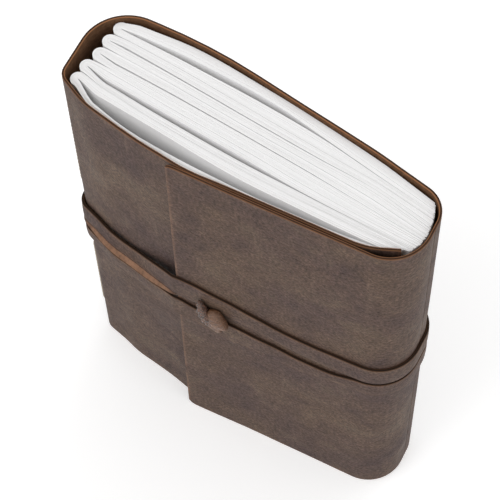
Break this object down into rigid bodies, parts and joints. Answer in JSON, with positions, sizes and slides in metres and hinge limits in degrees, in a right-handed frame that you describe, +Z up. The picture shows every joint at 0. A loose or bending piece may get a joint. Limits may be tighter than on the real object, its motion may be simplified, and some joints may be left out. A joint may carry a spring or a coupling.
{
  "type": "leather notebook cover",
  "caption": "Wrap-around leather journal cover with a front flap, sewn-in folded paper signatures, and a leather thong wound round it and tied in a knot.",
  "frame": {"origin": "centre of the whole object's footprint, on the surface it stands on", "axes": "+Z up along the spine's height, -X towards the spine, +X towards the fore-edge, -Y out of the front flap"},
  "size_m": [0.1322, 0.0516, 0.182],
  "materials": {
    "cover_leather": "waxed pull-up leather, grey-brown and mottled, satin",
    "thong_leather": "soft suede-backed leather lace, dark brown with a tan flesh side",
    "paper": "matt uncoated white paper",
    "thread": "waxed linen thread"
  },
  "bodies": {
    "book": {"back_cover": "cover_leather", "front_cover": "cover_leather", "sewing_thread_1": "thread", "sewing_thread_2": "thread", "sewing_thread_3": "thread", "sewing_thread_4": "thread", "sewing_thread_5": "thread", "signature_1_sheets_1": "paper", "signature_1_sheets_2": "paper", "signature_1_sheets_3": "paper", "signature_1_sheets_4": "paper", "signature_2_sheets_1": "paper", "signature_2_sheets_2": "paper", "signature_2_sheets_3": "paper", "signature_2_sheets_4": "paper", "signature_3_sheets_1": "paper", "signature_3_sheets_2": "paper", "signature_3_sheets_3": "paper", "signature_3_sheets_4": "paper", "signature_4_sheets_1": "paper", "signature_4_sheets_2": "paper", "signature_4_sheets_3": "paper", "signature_4_sheets_4": "paper", "signature_5_sheets_1": "paper", "signature_5_sheets_2": "paper", "signature_5_sheets_3": "paper", "signature_5_sheets_4": "paper", "spine_panel": "cover_leather", "thong_lower_back": "thong_leather", "thong_lower_spine": "thong_leather", "thong_upper_back": "thong_leather", "thong_upper_spine": "thong_leather"},
    "wrap": {"fore_edge_wrap": "cover_leather", "thong_lower_fore_edge": "thong_leather", "thong_upper_fore_edge": "thong_leather"},
    "flap": {"flap": "cover_leather", "thong_end": "thong_leather", "thong_knot_loop": "thong_leather", "thong_knot_wrap": "thong_leather", "thong_lower_front": "thong_leather", "thong_upper_front": "thong_leather"}
  },
  "joints": [
    {"name": "fore_edge_fold", "type": "hinge", "parent": "book", "child": "wrap", "pos_m": [0.06372, 0.00531, 0.091], "axis": [0, 0, 1], "range_deg": [0, 85]},
    {"name": "flap_fold", "type": "hinge", "parent": "wrap", "child": "flap", "pos_m": [0.06167, -0.01782, 0.091], "axis": [0, 0, 1], "range_deg": [0, 95]}
  ]
}
